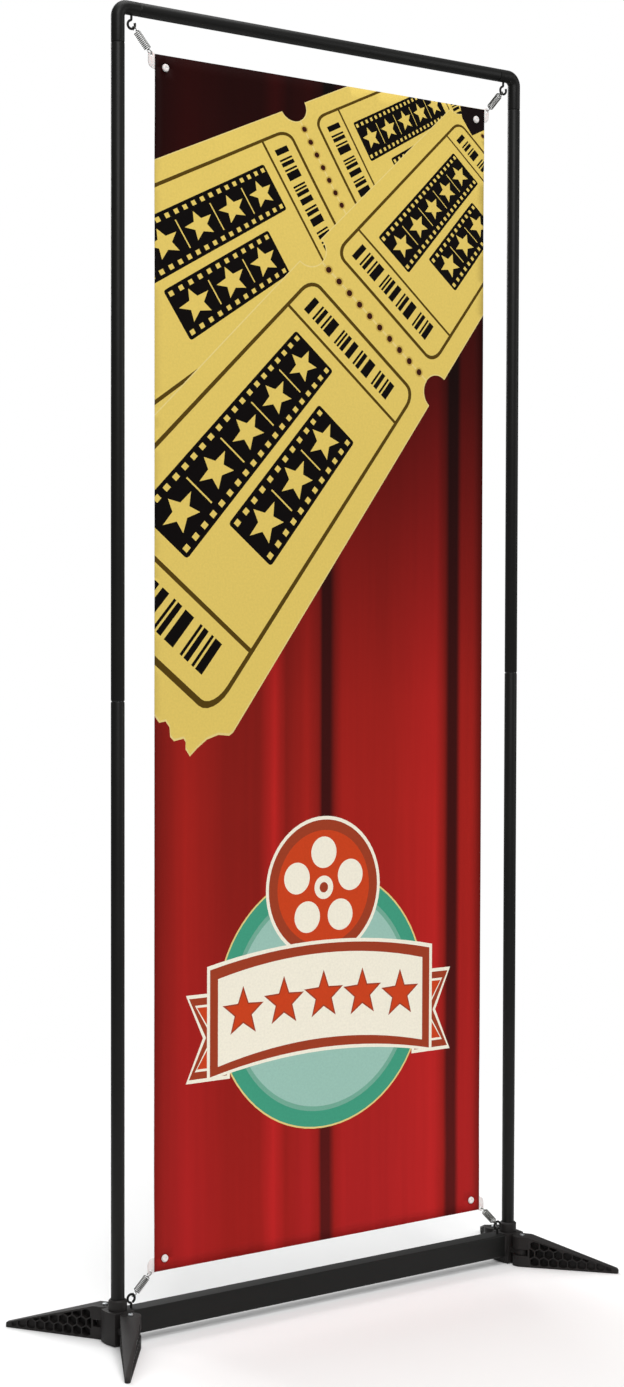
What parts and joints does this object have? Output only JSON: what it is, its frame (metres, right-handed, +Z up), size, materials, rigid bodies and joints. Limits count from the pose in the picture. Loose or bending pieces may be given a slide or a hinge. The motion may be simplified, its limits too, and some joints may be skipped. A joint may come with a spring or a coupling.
{
  "type": "banner stand",
  "caption": "Tubular steel banner stand on folding feet, with a printed vinyl banner sprung at its corners inside the frame.",
  "frame": {"origin": "on the floor, midway between the two posts", "axes": "+Z up, +X along the frame to the right as the print is read, -Y towards the reader"},
  "size_m": [1.0416, 0.3716, 2.1473],
  "materials": {
    "powder_coat": "satin black powder coat",
    "black_nylon": "moulded black nylon, fine texture",
    "zinc_plate": "bright zinc plate",
    "spring_steel": "bright drawn wire",
    "plain_steel": "plain rolled steel",
    "dark_aluminium": "black anodised",
    "acetal": "natural white",
    "clear_plastic": "translucent moulded, glossy",
    "printed_vinyl": "matt printed vinyl"
  },
  "bodies": {
    "frame": {"crossbar": "powder_coat", "top_bar": "powder_coat", "hub_left": "black_nylon", "lower_post_left": "powder_coat", "upper_post_left": "powder_coat", "post_ferrule_left": "plain_steel", "ferrule_rivet_left": "dark_aluminium", "corner_left": "powder_coat", "corner_rivet_left": "dark_aluminium", "crossbar_screw_left": "zinc_plate", "hub_right": "black_nylon", "lower_post_right": "powder_coat", "upper_post_right": "powder_coat", "post_ferrule_right": "plain_steel", "ferrule_rivet_right": "dark_aluminium", "corner_right": "powder_coat", "corner_rivet_right": "dark_aluminium", "crossbar_screw_right": "zinc_plate", "friction_washer_front_left": "acetal", "friction_washer_back_left": "acetal", "friction_washer_front_right": "acetal", "friction_washer_back_right": "acetal", "eye_hook_top_left": "powder_coat", "spring_top_left": "spring_steel", "eye_hook_top_right": "powder_coat", "spring_top_right": "spring_steel", "eye_hook_bottom_left": "powder_coat", "spring_bottom_left": "spring_steel", "eye_hook_bottom_right": "powder_coat", "spring_bottom_right": "spring_steel"},
    "foot_front_left": {"foot_front_left": "black_nylon", "pivot_screw_front_left": "zinc_plate", "pivot_nut_front_left": "zinc_plate"},
    "foot_back_left": {"foot_back_left": "black_nylon", "pivot_screw_back_left": "zinc_plate", "pivot_nut_back_left": "zinc_plate"},
    "foot_front_right": {"foot_front_right": "black_nylon", "pivot_screw_front_right": "zinc_plate", "pivot_nut_front_right": "zinc_plate"},
    "foot_back_right": {"foot_back_right": "black_nylon", "pivot_screw_back_right": "zinc_plate", "pivot_nut_back_right": "zinc_plate"},
    "banner": {"banner": "printed_vinyl", "banner_clip_top_left": "clear_plastic", "clip_stud_top_left": "clear_plastic", "banner_clip_top_right": "clear_plastic", "clip_stud_top_right": "clear_plastic", "banner_clip_bottom_left": "clear_plastic", "clip_stud_bottom_left": "clear_plastic", "banner_clip_bottom_right": "clear_plastic", "clip_stud_bottom_right": "clear_plastic"}
  },
  "joints": [
    {"name": "swing_front_left", "type": "hinge", "parent": "frame", "child": "foot_front_left", "pos_m": [-0.4192, -0.0384, 0.03], "axis": [0, 0, 1], "range_deg": [-26, 124]},
    {"name": "swing_back_left", "type": "hinge", "parent": "frame", "child": "foot_back_left", "pos_m": [-0.4192, 0.0384, 0.03], "axis": [0, 0, -1], "range_deg": [-26, 124]},
    {"name": "swing_front_right", "type": "hinge", "parent": "frame", "child": "foot_front_right", "pos_m": [0.4192, -0.0384, 0.03], "axis": [0, 0, -1], "range_deg": [-26, 124]},
    {"name": "swing_back_right", "type": "hinge", "parent": "frame", "child": "foot_back_right", "pos_m": [0.4192, 0.0384, 0.03], "axis": [0, 0, 1], "range_deg": [-26, 124]},
    {"name": "banner_give", "type": "slide", "parent": "frame", "child": "banner", "axis": [0, 1, 0], "range_m": [-0.015, 0.015], "stiffness_N_per_m": 900, "deforming": ["spring_top_left", "spring_top_right", "spring_bottom_left", "spring_bottom_right"]}
  ]
}
